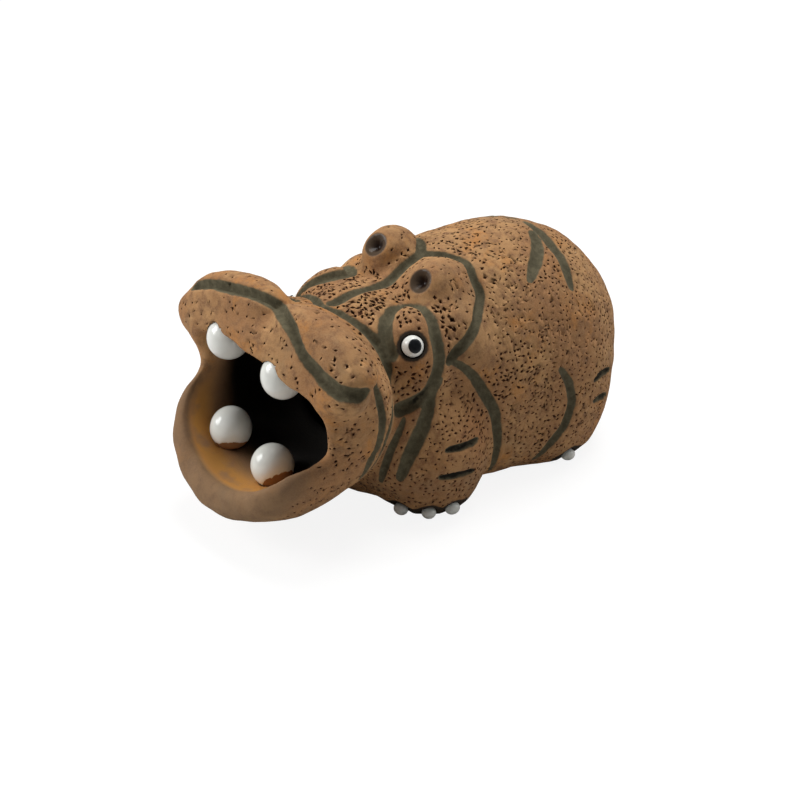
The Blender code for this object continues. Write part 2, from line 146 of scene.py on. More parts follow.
# Pricks per square millimetre, patches of more and fewer, and the share left out in each bare place
PIT_DENSITY = 0.34
FOREHEAD_DENSITY = 0.10
FORELEG_DENSITY = 0.06
PIT_PATCHES = ((16.0, 0.32, 51), (6.0, 0.3, 52))
PIT_SIZE_PATCH = (20.0, 61)
LEFT_OUT = {"crown": 0.35, "ear_knob": 0.9, "ear_lobe": 0.85, "snout": 0.62, "lip": 0.6}

# Clay kept this far inside the CAD box, for what thinning its faces may add
BOX_MARGIN = 0.02

# Pellets: start of the CAD names, seed, unevenness, and share of the CAD pellet's size
EYE_SHRINK = 0.92
PELLETS = (("tooth", 71, 0.05, 1.0), ("eye", 81, 0.02, EYE_SHRINK), ("nail", 91, 0.08, 1.0))
PELLET_PATCH = 2.4
BARE_SIDES = {"tooth_lower_left": (0.75, -0.1, -0.65), "tooth_lower_right": (0.35, -0.25, -0.9)}
BARE_EDGE = (0.25, 0.95)
BARE_MOST = 0.8
PUPIL_WIDTH = 4.2
PUPIL_TALLNESS = 1.08
PUPIL_THICKNESS = 1.5
PUPIL_SINK = 0.35
PUPIL_SHIFT = (0.25, -0.45)

# Colours, as linear red, green and blue; a pair is the two ends of a patchy colour
TAN = ((0.36, 0.175, 0.075), (0.48, 0.265, 0.115))
SPECK = (0.58, 0.36, 0.18)
RIM_BROWN = (0.235, 0.150, 0.088)
LEG_BROWN = (0.34, 0.135, 0.045)
INNER_BROWN = (0.44, 0.245, 0.125)
BEVEL_ORANGE = (0.66, 0.32, 0.085)
# Painted shade: near black laid on the clay deep inside the mouth
PAINTED_MOUTH_SHADE = (0.004, 0.003, 0.002)
STAIN = ((0.088, 0.076, 0.045), (0.16, 0.138, 0.083))
# Painted shade: near black in the middles of the deep cuts
CRACK_PAINTED_SHADE = (0.018, 0.015, 0.010)
# Dark ring where eyes and nails sit in the clay; near the floor round the nails it is painted shade
SOCKET_BLACK = (0.045, 0.034, 0.024)
# Ear pits: dark brown glaze at the rim, going to near black painted shade in the deep middle
EAR_PIT = ((0.085, 0.058, 0.038), (0.018, 0.009, 0.006))
# Painted shade inside the pricks, dark brown
PRICK_SHADE = ((0.060, 0.025, 0.012), (0.135, 0.058, 0.028))
GLAZE = ((0.90, 0.91, 0.85), (0.95, 0.955, 0.91))
BARE_CLAY = (0.30, 0.145, 0.06)
PUPIL = ((0.006, 0.008, 0.010), (0.014, 0.016, 0.019))
FLOOR_COLOUR = (0.72, 0.72, 0.71)
WORLD_COLOUR = (1.0, 0.99, 0.97)
WHITE = (1.0, 1.0, 1.0)

# Patches on the clay: noise scale per metre, detail, roughness and distortion, where they start and are full,
# and their colour; orange, grey and dark brown
CLAY_PATCHES = (
    (62.0, 5.0, 0.65, 0.4, 0.50, 0.72, (0.49, 0.205, 0.055)),
    (38.0, 5.0, 0.62, 0.6, 0.52, 0.74, (0.27, 0.175, 0.10)),
    (320.0, 4.0, 0.65, 0.0, 0.40, 0.72, (0.215, 0.105, 0.052)),
)

# Where each mark fades out and where it is full, in half widths of its cut
STAIN_EDGE = (1.42, 1.14)
CRACK_EDGE = (1.38, 1.08)
CRACK_SHADE_EDGE = (1.12, 0.72)
SOCKET_EDGE = (1.02, 0.88)
EAR_EDGE = (1.05, 0.85)
EAR_PIT_SHADE_EDGE = (0.62, 0.38)

# Light: each lamp's name, place in metres, width and watts; the world's and the floor's own light
LAMPS = (("key", (-0.6, -0.68, 0.5), 0.5, 6.0), ("top", (-0.15, 0.3, 0.9), 0.55, 6.9),
         ("back", (0.45, 0.85, 0.4), 0.5, 1.6))
LAMP_AIM = (0.0, 0.0, 0.03)
WORLD_LIGHT = 0.14
FLOOR_SIZE = 3.0
FLOOR_GLOW = 1.22
FLOOR_GLOW_SHARE = 0.72

# Camera, fitted to the outline in the photograph
CAMERA_AZIMUTH = 51.0
CAMERA_ELEVATION = 28.5
CAMERA_DISTANCE = 500.0
CAMERA_TARGET = (16.5, -21.0, 35.0)
CAMERA_LENS = 69.75
CAMERA_SENSOR = 36.0
CAMERA_NEAREST = 0.01


def lump(at, half, turn=(0.0, 0.0, 0.0), blend=5.0, pair=False):
    """One rounded lump of clay: centre, half sizes, turn in degrees about X, Z and Y, and its soft join."""
    pitch, yaw, roll = (math.radians(a) for a in turn)
    matrix = Matrix.Rotation(yaw, 3, "Z") @ Matrix.Rotation(pitch, 3, "X") @ Matrix.Rotation(roll, 3, "Y")
    return {"at": np.array(at), "half": np.array(half), "turn": matrix, "blend": blend, "pair": pair}


BARREL = lump((0, BARREL_BACK, BARREL_RISE), (BARREL_WIDTH / 2, BARREL_LENGTH / 2, BARREL_HEIGHT / 2))
CHEST = lump((0, 5, 38), (CHEST_WIDTH / 2, 31, CHEST_HEIGHT / 2), blend=12)
BELLY = lump((0, 22, 14), (BELLY_WIDTH / 2, 45.5, 20), blend=10)
KEEL = lump((0, -11, 8), (24, 17, 15), blend=3)
HAUNCH = lump((LEG_SPREAD, 39.5, 19.5), (HAUNCH_WIDTH / 2, 22, 25.5), blend=8, pair=True)
FORELEG = lump((LEG_SPREAD, -15, 19), (FORELEG_WIDTH / 2, 20, 25), blend=5, pair=True)
NECK = lump((0, -23.5, 31), (NECK_WIDTH / 2, 22.5, 34), blend=8)
FOREHEAD = lump((0, -26, 54), (HEAD_WIDTH / 2, 22, 14.3), blend=6)
EYE_LOBE = lump((22.5, -19.5, 54), (10.5, 13.5, 15), (0, -2, -27), blend=3, pair=True)
EAR_LOBE = lump((22, -3.5, 55.5), (12, 12.5, 16.5), (0, 0, -42), blend=3, pair=True)
EAR_LEFT = lump((EAR_SPREAD + 0.5, -2.5, EAR_RISE - EAR_DROP), (EAR_WIDTH / 2, 10.2, 9.5), blend=4)
EAR_RIGHT = lump((-EAR_SPREAD, -2, EAR_RISE), (EAR_WIDTH / 2, 10.2, 9.5), blend=3)
TAIL = lump((0, BARREL_BACK + BARREL_LENGTH / 2, 36), (3.5, 3, 12), blend=2)
MUZZLE = lump((0, -48, 42.5), (MUZZLE_WIDTH / 2, 20.5, MUZZLE_HEIGHT / 2), blend=5)
LIP_TIP = lump((35.5, -60, 59.3), (8.5, 6.5, 6.5), (-35, 0, 0), blend=5, pair=True)
CHEEK = lump((29.5, -52, 48.5), (9.5, 12.5, 14.5), blend=7, pair=True)
SNOUT = lump((-2, -59, SNOUT_RISE), (SNOUT_WIDTH / 2, 10, 11.5), (-35, 3.5, 0), blend=7)
NOSTRIL = lump((22.5, -54.7, 67.2), (NOSTRIL_LENGTH / 2, 10, 7.7), (0, 0, 10), blend=3, pair=True)
JAW = lump((-1, -60, 30), (JAW_WIDTH / 2, JAW_LENGTH / 2, 23), (17, -1.5, 0), blend=8)
MOUTH = lump((1.2, -62, 39.2), (MOUTH_WIDTH / 2, MOUTH_DEPTH / 2, MOUTH_HEIGHT / 2), (31, 0, 0), blend=6)
MOUTH_CORNER_RIGHT = lump((-15, -61.5, 52.3), (15, 14, 6.5), (25, 0, 8), blend=5)
MOUTH_CORNER_LEFT = lump((24, -61.5, 47.5), (6.5, 14, 6), (25, 0, 0), blend=6)
CLAY_LUMPS = [BARREL, CHEST, BELLY, KEEL, HAUNCH, FORELEG, NECK, FOREHEAD, EYE_LOBE, EAR_LOBE, EAR_LEFT,
              EAR_RIGHT, TAIL, MUZZLE, CHEEK, SNOUT, LIP_TIP, NOSTRIL, JAW]
HOLLOW_LUMPS = [BARREL, CHEST, NECK, MUZZLE]
MOUTH_LUMPS = [MOUTH, MOUTH_CORNER_RIGHT, MOUTH_CORNER_LEFT]

# Carved lines of the left side, as points near the surface; those of the right side mirror them
MIDLINE = [(0, -35, 67.5), (0, -28, 69), (0, -20, 69), (0, -12, 69.5), (0, -5, 72), (0, 1, 74.5)]
NECK_LINE = [(0, 1, 74.5), (6, 6, 75.5), (13, 9, 74), (19, 7.5, 71.5), (25, 5.5, 67.5), (30, 0, 64),
             (33, -5, 60.5), (33.5, -9.5, 57.5), (32.5, -14.5, 53.5)]
EYE_LINE = [(30, -32, 41), (31, -28.5, 42), (33, -23.5, 45), (33.5, -21, 50), (32.5, -18.5, 56),
            (29, -17.7, 61), (24.8, -16.4, 63.7), (19.3, -15.9, 65.6), (15.2, -17.2, 65.6),
            (14.7, -20.9, 65.6), (17, -26, 64.6), (21.6, -30.6, 61.4), (25, -31.3, 58)]
BRIDGE_LINE = [(0, -40, 68), (6, -37, 67), (13, -35.5, 65), (19, -34, 62.5), (24, -33.5, 57.5),
               (29, -35, 51), (35, -39, 47), (37.5, -42, 42), (36.5, -42.5, 36.5), (34.5, -43.5, 31),
               (32, -45, 25.5), (26, -45, 17)]
MUZZLE_LINE = [(6, -45, 69.5), (15, -45.5, 69), (24, -46, 68), (32, -47, 65), (37.5, -47, 59),
               (39.5, -46.5, 51), (40, -46.5, 44), (38.5, -47, 37), (37, -48.5, 32), (33, -49, 24)]
NOSTRIL_LINE_LEFT = [(0, -55, 72), (12, -60, 72), (18, -62, 69.5), (24, -63, 66), (32, -63, 63.5),
                     (40, -61, 60.5), (44.5, -57, 61)]
NOSTRIL_LINE_RIGHT = [(0, -55, 72), (-10, -58, 73.5), (-20, -59.5, 72.5), (-30, -60, 70.5), (-41, -60, 66)]
LEG_LINE = [(32.5, -13.5, 53), (34.5, -9.5, 50), (35.5, -5.5, 45), (36.5, -2.5, 39.5), (37, 1, 33),
            (37, 3, 27), (36.5, 4, 20), (36, 3.5, 13), (34, 4, 6)]
THROAT_LINE = [(34, -19, 49), (33.5, -22.5, 42), (34.5, -25.5, 37), (35, -29, 31.5), (34, -32, 25),
               (32, -34, 17)]
FOLD_LINE = [(31, -31, 38), (31, -33.5, 33), (30, -35.5, 28), (28, -36.5, 21), (25.5, -36.5, 14)]
HAUNCH_LINE = [(40, 27.5, 40), (41, 31, 34), (41.5, 32.5, 26), (41, 30, 18.5), (39.5, 25.5, 12.5),
               (36.5, 21, 6)]
LEG_SLASHES = [[(40, -21.5, 27), (41, -15, 26.5), (40, -7.5, 26)],
               [(40, -24, 18), (41.5, -17, 17.2), (41.5, -11, 16.5)]]
HIP_SLASHES = [[(40.5, 43.5, 30.5), (39, 49, 31), (36.5, 55, 29.5)],
               [(41, 44, 22.5), (40, 48.5, 22), (37.5, 53.5, 20.5)]]
BACK_LEAVES = [[(9, 42, 75), (15, 39.5, 74), (20.5, 34, 71.5), (26, 25.5, 67)],
               [(2, 45.5, 76), (11, 45.5, 74), (20, 44.5, 70.5), (26, 42.5, 66), (31, 40.5, 62)]]


def on_the_right(points):
    """The right side's copy of points."""
    return [(-x, y, z) for x, y, z in points]


def right_eye(points):
    """The right side's copy of points about the eye, which sits lower round the head than the left one."""
    drop = math.radians(RIGHT_EYE_DROP)
    across, down, axis = math.cos(drop), math.sin(drop), RIGHT_EYE_AXIS
    return [(-x * across - (z - axis) * down, y, axis + (z - axis) * across - x * down) for x, y, z in points]


# Each carving: its points, width, depth, whether its ends taper, and whether the right side has it too
CARVINGS = [
    (MIDLINE, GROOVE_WIDTH * 1.2, GROOVE_DEPTH, False, False),
    (NECK_LINE, GROOVE_WIDTH, GROOVE_DEPTH, False, True),
    (EYE_LINE, GROOVE_WIDTH * 1.35, GROOVE_DEPTH * 1.1, False, False),
    (right_eye(EYE_LINE), GROOVE_WIDTH * 1.35, GROOVE_DEPTH * 1.1, False, False),
    (BRIDGE_LINE, GROOVE_WIDTH, GROOVE_DEPTH, False, True),
    (MUZZLE_LINE, GROOVE_WIDTH * 0.9, GROOVE_DEPTH * 0.8, False, True),
    (NOSTRIL_LINE_LEFT, GROOVE_WIDTH * 1.3, GROOVE_DEPTH * 1.3, False, False),
    (NOSTRIL_LINE_RIGHT, GROOVE_WIDTH * 1.1, GROOVE_DEPTH * 1.3, False, False),
    (LEG_LINE, GROOVE_WIDTH * 1.1, GROOVE_DEPTH, True, True),
    (THROAT_LINE, GROOVE_WIDTH * 1.3, GROOVE_DEPTH, True, True),
    (FOLD_LINE, GROOVE_WIDTH * 0.8, GROOVE_DEPTH * 0.8, True, True),
    (HAUNCH_LINE, GROOVE_WIDTH * 1.1, GROOVE_DEPTH, True, True),
]
CARVINGS += [(line, GROOVE_WIDTH * 1.25, GROOVE_DEPTH * 0.8, True, True) for line in BACK_LEAVES]

# Deep cuts, stained, with near black painted shade down their middles: the slit below each eye, and the
# slashes on legs and hips
CRACKS = [(EYE_LINE[:4], SLIT_WIDTH, GROOVE_DEPTH * 1.3, True, True)]
CRACKS += [(line, SLIT_WIDTH * 1.25, GROOVE_DEPTH * 1.2, True, True) for line in LEG_SLASHES + HIP_SLASHES]

# Middles of the ear pits and the eyes, near the surface
EAR_PITS_AT = [(EAR_SPREAD + 1.4, -10.8, EAR_RISE + 2.0), (-EAR_SPREAD + 0.9, -9.5, EAR_RISE + 6.3)]
LEFT_EYE_AT = (28.5, -25.7, 60.5)
EYES_AT = [LEFT_EYE_AT] + right_eye([LEFT_EYE_AT])


def lump_distance(points, shape, shrink=0.0):
    """Approximate distance from each point to a lump, negative inside it."""
    local = points.copy()
    if shape["pair"]:
        local[:, 0] = np.abs(local[:, 0])
    local = (local - shape["at"]) @ np.array(shape["turn"])
    half = shape["half"] - shrink
    near = np.sqrt(((local / half) ** 2).sum(axis=1))
    steep = np.sqrt(((local / half ** 2) ** 2).sum(axis=1))
    return near * (near - 1.0) / np.maximum(steep, 1e-9)


def soft_join(first, second, blend):
    """Lesser of two distances, with a fillet about as wide as blend where they meet."""
    overlap = np.maximum(blend - np.abs(first - second), 0.0) / blend
    return np.minimum(first, second) - overlap * overlap * blend / 4.0


def soft_keep(first, second, blend):
    """Greater of two distances, with a rounded edge where they meet."""
    return -soft_join(-first, -second, blend)


def pressed_together(points, shapes, shrink=0.0):
    distance = lump_distance(points, shapes[0], shrink)
    for shape in shapes[1:]:
        distance = soft_join(distance, lump_distance(points, shape, shrink), shape["blend"])
    return distance


def mouth_normal():
    tilt = math.radians(MOUTH_TILT)
    return np.array([0.0, -math.cos(tilt), math.sin(tilt)])


def outside(points):
    """Distance to the outer skin, trimmed flat in front of the mouth and under the base."""
    distance = pressed_together(points, CLAY_LUMPS)
    distance = soft_keep(distance, points @ mouth_normal() - MOUTH_REACH, TRIM_ROUND)
    return soft_keep(distance, -BASE_TRIM - points[:, 2], BASE_ROUND)


def inside(points):
    """Distance to the hollow, one wall in from the main lumps and open at the mouth."""
    distance = pressed_together(points, HOLLOW_LUMPS, WALL)
    for shape in MOUTH_LUMPS:
        distance = soft_join(distance, lump_distance(points, shape), shape["blend"])
    return soft_keep(distance, FLOOR - points[:, 2], TRIM_ROUND)


def clay(points):
    return soft_keep(outside(points), -inside(points), RIM_ROUND)


def slope(points, step=0.05):
    """Unit direction in which the distance to the clay grows."""
    here = clay(points)
    rise = [clay(points + offset) - here for offset in np.eye(3) * step]
    grown = np.stack(rise, axis=1) / step
    return here, grown / np.maximum(np.linalg.norm(grown, axis=1), 1e-9)[:, None]


def settle(points, steps=SETTLE_STEPS):
    """Moves points onto the surface of the clay; returns them and the surface normals."""
    points = np.array(points, dtype=float)
    for _ in range(steps):
        distance, normal = slope(points)
        points -= normal * np.clip(distance, -SETTLE_REACH, SETTLE_REACH)[:, None]
    return points, slope(points)[1]


def smooth_path(points):
    """Even steps along a curve through the points (Catmull-Rom)."""
    ends = np.array([points[0]] + list(points) + [points[-1]], dtype=float)
    path = []
    for a, b, c, d in zip(ends, ends[1:], ends[2:], ends[3:]):
        count = max(2, int(np.linalg.norm(c - b) / PATH_STEP))
        for t in np.arange(count) / count:
            path.append(0.5 * (2 * b + (c - a) * t + (2 * a - 5 * b + 4 * c - d) * t ** 2
                               + (3 * b - a - 3 * c + d) * t ** 3))
    path.append(ends[-1])
    return np.array(path)


def carving_paths(carvings):
    """Each carved line settled on the clay, with the half width and depth at each of its points."""
    paths = []
    for points, width, depth, tapered, both_sides in carvings:
        for line in [points] + ([on_the_right(points)] if both_sides else []):
            path, _ = settle(smooth_path(line), LINE_SETTLE_STEPS)
            along = np.linspace(0.0, 1.0, len(path))
            end = np.sin(np.pi * along) ** 0.5 if tapered else np.ones(len(path))
            paths.append((path, np.maximum(width / 2 * (0.35 + 0.65 * end), 0.5), depth * end))
    return paths


def dish(centre, width, depth):
    return np.array([centre]), np.array([width / 2]), np.array([depth])


def new_collection(name):
    collection = bpy.data.collections.new(name)
    bpy.context.scene.collection.children.link(collection)
    return collection


def add_object(name, mesh, collection):
    item = bpy.data.objects.new(name, mesh)
    collection.objects.link(item)
    return item


def add_ball(bm, centre, half, turn=None, shrink=0.0, segments=20, rings=12):
    """A round primitive stretched to half sizes and turned, in metres."""
    turn = (turn or Matrix.Identity(3)).to_4x4()
    size = Matrix.Diagonal([(value - shrink) * MM for value in half]).to_4x4()
    place = Matrix.Translation(Vector([float(value) for value in centre]) * MM)
    bmesh.ops.create_uvsphere(bm, u_segments=segments, v_segments=rings, radius=1.0,
                              matrix=place @ turn @ size)


def lumps_mesh(name, shapes, shrink=0.0):
    bm = bmesh.new()
    for shape in shapes:
        add_ball(bm, shape["at"], shape["half"], shape["turn"], shrink)
        if shape["pair"]:
            flip = Matrix.Diagonal((-1, 1, 1))
            other = flip @ shape["turn"] @ flip
            add_ball(bm, shape["at"] * (-1, 1, 1), shape["half"], other, shrink)
    mesh = bpy.data.meshes.new(name)
    bm.to_mesh(mesh)
    bm.free()
    return mesh


def slice_mesh(mesh, point, normal):
    """Cuts away what lies beyond a plane and caps the cut."""
    bm = bmesh.new()
    bm.from_mesh(mesh)
    everything = bm.verts[:] + bm.edges[:] + bm.faces[:]
    cut = bmesh.ops.bisect_plane(bm, geom=everything, plane_co=Vector(point) * MM, plane_no=Vector(normal),
                                 clear_outer=True)
    edges = [item for item in cut["geom_cut"] if isinstance(item, bmesh.types.BMEdge)]
    bmesh.ops.holes_fill(bm, edges=edges, sides=0)
    bm.to_mesh(mesh)
    bm.free()


def bake(item):
    """Replaces an object's mesh by its evaluated one and drops its modifiers."""
    graph = bpy.context.evaluated_depsgraph_get()
    mesh = bpy.data.meshes.new_from_object(item.evaluated_get(graph))
    item.modifiers.clear()
    item.data = mesh


def remesh(item, voxel):
    modifier = item.modifiers.new("even_clay", "REMESH")
    modifier.mode = "VOXEL"
    modifier.voxel_size = voxel * MM
    bake(item)


def mesh_points(mesh):
    values = np.empty(len(mesh.vertices) * 3, dtype=np.float32)
    mesh.vertices.foreach_get("co", values)
    return values.reshape(-1, 3).astype(float) / MM


def move_points(mesh, points):
    mesh.vertices.foreach_set("co", (points * MM).astype(np.float32).ravel())
    mesh.update()


def facing(way, up=(0, 0, 1)):
    """Turn whose local -Y looks along way, with local Z as near up as it can be."""
    back = -Vector(way).normalized()
    side = back.cross(Vector(up)).normalized()
    return Matrix((side, back, side.cross(back))).transposed()


def smoothstep(low, high, value):
    share = np.clip((value - low) / (high - low), 0.0, 1.0)
    return share * share * (3.0 - 2.0 * share)


def mottle(points, size, seed, waves=7):
    """Smooth random values near -1 to 1 that change over about size millimetres."""
    rng = np.random.default_rng(seed)
    total = np.zeros(len(points))
    for _ in range(waves):
        way = rng.normal(size=3)
        way *= 2.0 * math.pi / (size * rng.uniform(0.8, 1.6) * np.linalg.norm(way))
        total += np.sin(points @ way + rng.uniform(0.0, 2.0 * math.pi))
    return total / math.sqrt(waves)


def near_cut(points, path, half_width, margin):
    """Numbers of the points near a cut, and their reach from each point of its path in half widths."""
    low, high = path.min(axis=0) - margin, path.max(axis=0) + margin
    near = np.where(((points > low) & (points < high)).all(axis=1))[0]
    return near, np.linalg.norm(points[near, None] - path[None], axis=2) / half_width


def least_reach(points, cuts):
    """How far each point lies from the nearest cut, in half widths of that cut, up to FARTHEST_REACH."""
    least = np.full(len(points), FARTHEST_REACH)
    for path, half_width, _ in cuts:
        near, reach = near_cut(points, path, half_width, FARTHEST_REACH * half_width.max())
        if len(near):
            least[near] = np.minimum(least[near], reach.min(axis=1))
    return least


def carve(points, normals, lines, dishes):
    """Presses points inward under the cuts and lifts a low burr along each line."""
    press = np.zeros(len(points))
    for path, half_width, depth in lines + dishes:
        near, reach = near_cut(points, path, half_width, half_width.max())
        if len(near):
            bowl = np.maximum(1.0 - reach ** 2, 0.0) ** 1.5 * depth
            press[near] = np.maximum(press[near], bowl.max(axis=1))
    burr = BURR_HEIGHT * np.exp(-((least_reach(points, lines) - BURR_REACH) / BURR_SPAN) ** 2)
    return points + normals * (burr * (0.7 + 0.3 * mottle(points, BURR_PATCH, BURR_SEED)) - press)[:, None]


def sunk(cuts):
    """The same cuts with their paths half way down, to measure from inside what was carved."""
    return [(path - slope(path)[1] * depth[:, None] / 2, half_width, depth)
            for path, half_width, depth in cuts]


def dent(points, normals):
    """Shallow dents that fingers leave in the outer skin."""
    skin = smoothstep(-3.0, -0.5, outside(points))
    lift = sum(height * mottle(points, size, DENT_SEED + number)
               for number, (size, height) in enumerate(DENTS))
    return points + normals * (lift * skin)[:, None]


def centre_and_half(node):
    """Centre and half sizes of a CAD node, in millimetres."""
    low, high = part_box(node)
    return (np.array(low) + np.array(high)) / 2 / MM, (np.array(high) - np.array(low)) / 2 / MM


def pellet_names(start):
    return sorted(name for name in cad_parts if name.startswith(start))


def hollow_block():
    """The space inside the clay: the main lumps one wall smaller, and the mouth."""
    mesh = lumps_mesh("hollow_lumps", HOLLOW_LUMPS, WALL)
    bm = bmesh.new()
    bm.from_mesh(mesh)
    for shape in MOUTH_LUMPS:
        add_ball(bm, shape["at"], shape["half"], shape["turn"])
    bm.to_mesh(mesh)
    bm.free()
    hollow = add_object("hollow_lumps", mesh, helpers)
    remesh(hollow, ROUGH_VOXEL)
    slice_mesh(hollow.data, (0, 0, FLOOR), (0, 0, -1))
    return hollow


def on_clay(places):
    """Places moved onto the surface of the clay."""
    return settle(places, LINE_SETTLE_STEPS)[0]


def place_cuts():
    """Every carved line, crack and dish, settled on the clay."""
    nails = [centre_and_half(name)[0] for name in pellet_names("nail")]
    return {"lines": carving_paths(CARVINGS),
            "cracks": carving_paths(CRACKS),
            "eyes": [dish(at, EYE_DISH_WIDTH, EYE_DISH_DEPTH) for at in on_clay(EYES_AT)],
            "ear_pits": [dish(at, EAR_PIT_WIDTH, EAR_PIT_DEPTH) for at in on_clay(EAR_PITS_AT)],
            "nails": [dish(at, NAIL_DISH_WIDTH, NAIL_DISH_DEPTH) for at in nails]}


def build_clay():
    """The whole clay body, carved and flat underneath; returns the object and its cuts."""
    body = add_object("clay_body", lumps_mesh("clay_body", CLAY_LUMPS), parts)
    remesh(body, ROUGH_VOXEL)
    slice_mesh(body.data, mouth_normal() * MOUTH_REACH, mouth_normal())
    slice_mesh(body.data, (0, 0, -BASE_TRIM), (0, 0, -1))
    cut_with(body, hollow_block(), "EXACT")
    for voxel in (3 * FINE_VOXEL, FINE_VOXEL):
        remesh(body, voxel)
        points, normals = settle(mesh_points(body.data))
        move_points(body.data, points)
    cuts = place_cuts()
    dishes = cuts["cracks"] + cuts["eyes"] + cuts["ear_pits"] + cuts["nails"]
    points = carve(dent(points, normals), normals, cuts["lines"], dishes)
    low, high = (np.array(corner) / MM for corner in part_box("body"))
    move_points(body.data, np.clip(points, low + np.array((1, 1, 0)) * BOX_MARGIN, high - BOX_MARGIN))
    thin = body.modifiers.new("fewer_faces", "DECIMATE")
    thin.ratio = min(1.0, CLAY_TRIANGLES / (2 * len(body.data.polygons)))
    bake(body)
    slice_mesh(body.data, (0, 0, 0), (0, 0, -1))
    return body, {name: sunk(group) for name, group in cuts.items()}


def cut_with(body, cutter, solver):
    cut = body.modifiers.new(cutter.name, "BOOLEAN")
    cut.operation = "DIFFERENCE"
    cut.solver = solver
    cut.object = cutter
    bake(body)
    bpy.data.objects.remove(cutter, do_unlink=True)


def triangles_of(mesh):
    """Corners, normal and area of every triangle, in millimetres."""
    mesh.calc_loop_triangles()
    corners = np.empty(len(mesh.loop_triangles) * 3, dtype=np.int32)
    mesh.loop_triangles.foreach_get("vertices", corners)
    corners = mesh_points(mesh)[corners.reshape(-1, 3)]
    cross = np.cross(corners[:, 1] - corners[:, 0], corners[:, 2] - corners[:, 0])
    length = np.linalg.norm(cross, axis=1)
    return corners, cross / np.maximum(length, 1e-12)[:, None], length / 2


def pit_density(points, normals, cuts):
    """Pricks per square millimetre wanted at each point: none in grooves, lips, mouth and underside."""
    y, z = points[:, 1], points[:, 2]
    skin = outside(points) > -1.2
    behind_mouth = MOUTH_REACH - points @ mouth_normal()
    ears = np.minimum(lump_distance(points, EAR_LEFT), lump_distance(points, EAR_RIGHT))
    ear_knob = smoothstep(2.5, -0.5, ears)
    ear_lobe = smoothstep(2.0, -1.0, lump_distance(points, EAR_LOBE)) * (1.0 - ear_knob)
    forehead = smoothstep(-38.0, -34.0, y) * smoothstep(-9.0, -13.0, y) * smoothstep(56.0, 62.0, z)
    foreleg = smoothstep(2.0, -1.0, lump_distance(points, FORELEG))
    patches = 1.0
    for size, strength, seed in PIT_PATCHES:
        patches = patches + strength * mottle(points, size, seed)
    wanted = PIT_DENSITY * np.clip(patches, 0.25, 2.0)
    wanted *= 1.0 - LEFT_OUT["crown"] * smoothstep(66.0, 76.0, z)
    wanted += FOREHEAD_DENSITY * forehead + FORELEG_DENSITY * foreleg
    wanted *= 1.0 - LEFT_OUT["ear_knob"] * ear_knob
    wanted *= 1.0 - LEFT_OUT["ear_lobe"] * ear_lobe
    wanted *= 1.0 - LEFT_OUT["snout"] * smoothstep(-44.0, -47.0, y)
    wanted *= 1.0 - LEFT_OUT["lip"] * smoothstep(17.0, 10.0, behind_mouth)
    wanted *= np.maximum(smoothstep(7.0, 11.0, behind_mouth), smoothstep(54.0, 60.0, z))
    wanted *= smoothstep(1.2, 1.45, least_reach(points, cuts["lines"] + cuts["cracks"]))
    wanted *= smoothstep(1.0, 1.4, least_reach(points, cuts["eyes"] + cuts["ear_pits"] + cuts["nails"]))
    wanted *= smoothstep(1.5, 5.0, z) * skin * (normals[:, 2] > -0.85)
    return wanted


def pick_pits(mesh, cuts):
    """Chooses where the pricks go, at least one spacing apart; returns their places and normals."""
    rng = np.random.default_rng(SEED)
    corners, normals, areas = triangles_of(mesh)
    weight = pit_density(corners.mean(axis=1), normals, cuts) * areas
    tries = rng.choice(len(corners), size=int(weight.sum() * PIT_TRIES), p=weight / weight.sum())
    share = rng.dirichlet((1.0, 1.0, 1.0), size=len(tries))
    places = (corners[tries] * share[:, :, None]).sum(axis=1)
    taken, chosen = {}, []
    for number, place in enumerate(places):
        cell = tuple((place // PIT_SPACING).astype(int))
        around = [taken[key] for key in neighbours(cell) if key in taken]
        if all(np.linalg.norm(place - other) > PIT_SPACING for other in around):
            taken[cell] = place
            chosen.append(number)
        if len(chosen) == PIT_COUNT:
            break
    return places[chosen], normals[tries[chosen]], rng


def neighbours(cell):
    steps = (-1, 0, 1)
    return [(cell[0] + i, cell[1] + j, cell[2] + k) for i in steps for j in steps for k in steps]


